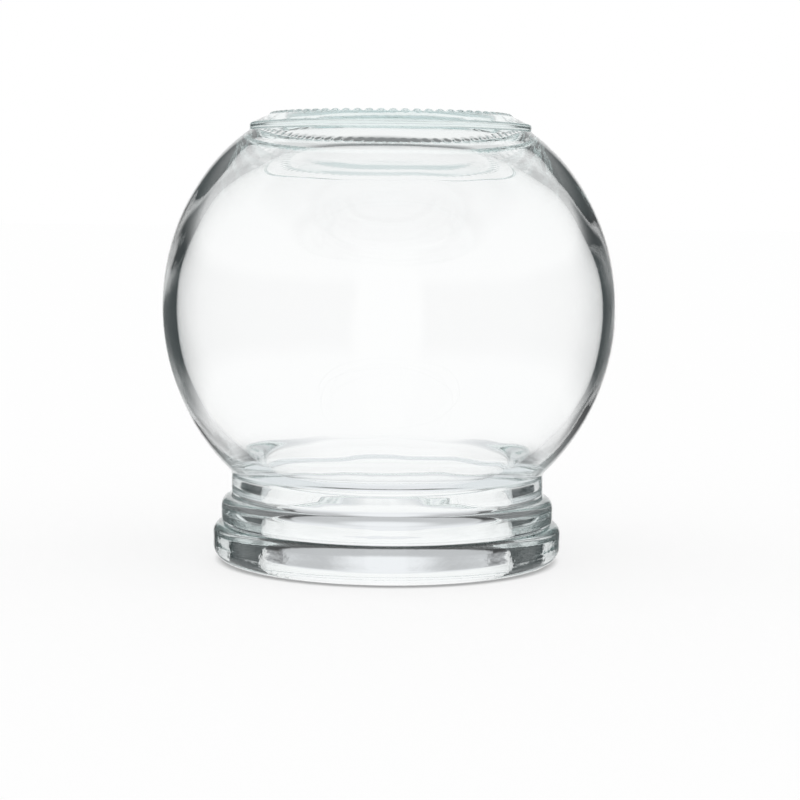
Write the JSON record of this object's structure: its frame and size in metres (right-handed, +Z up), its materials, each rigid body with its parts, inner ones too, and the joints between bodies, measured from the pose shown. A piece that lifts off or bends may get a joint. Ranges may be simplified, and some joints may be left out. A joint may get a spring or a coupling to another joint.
{
  "type": "cupping glass",
  "caption": "Round clear glass cup with a short neck, a beaded and rounded rim at its open mouth and a closed knurled base, used mouth down to hold suction on skin.",
  "frame": {"origin": "centre of the rim's face, where the cup stands on its mouth", "axes": "+Z up the axis of the cup, from the mouth to the closed base; the cup is round about Z"},
  "size_m": [0.08, 0.08, 0.0788],
  "materials": {
    "glass": "fire-polished clear soda-lime glass with a faint grey-green tint"
  },
  "bodies": {
    "root": {"cupping_glass": "glass"}
  },
  "joints": []
}
